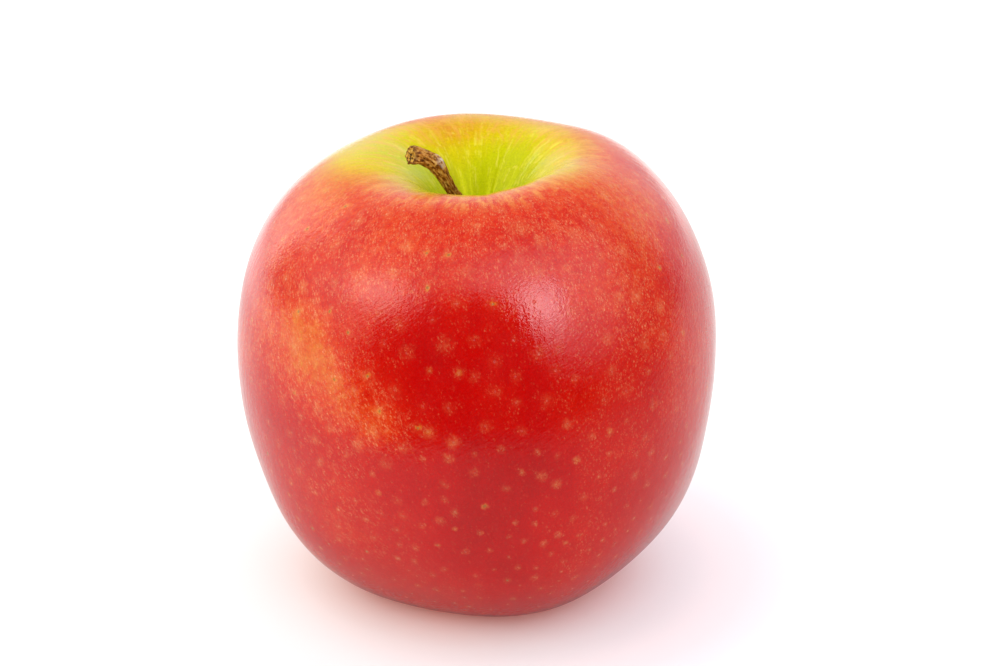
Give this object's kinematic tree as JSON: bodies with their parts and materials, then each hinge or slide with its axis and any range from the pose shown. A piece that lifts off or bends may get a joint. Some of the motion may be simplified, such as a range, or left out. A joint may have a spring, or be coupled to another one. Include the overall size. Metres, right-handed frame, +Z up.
{
  "type": "red apple",
  "caption": "Whole round red dessert apple with its bent woody stem in the stem cavity and the dried calyx in the eye underneath, standing on the ring of its base.",
  "frame": {"origin": "on the surface that the apple stands on, in the middle of its base ring, on the core axis that joins the stem's socket to the eye, within 0.5 mm of the bottom centre of the bounding box", "axes": "+Z up along the core axis from the eye to the stem; -Y towards the side that is seen in front, +X to its right; the stem leans towards -X and -Y"},
  "size_m": [0.0781, 0.081, 0.0753],
  "materials": {
    "skin": "gloss",
    "bark": "matte",
    "sepals": "matte"
  },
  "bodies": {
    "root": {"fruit": "skin", "stem": "bark", "calyx": "sepals"}
  },
  "joints": []
}
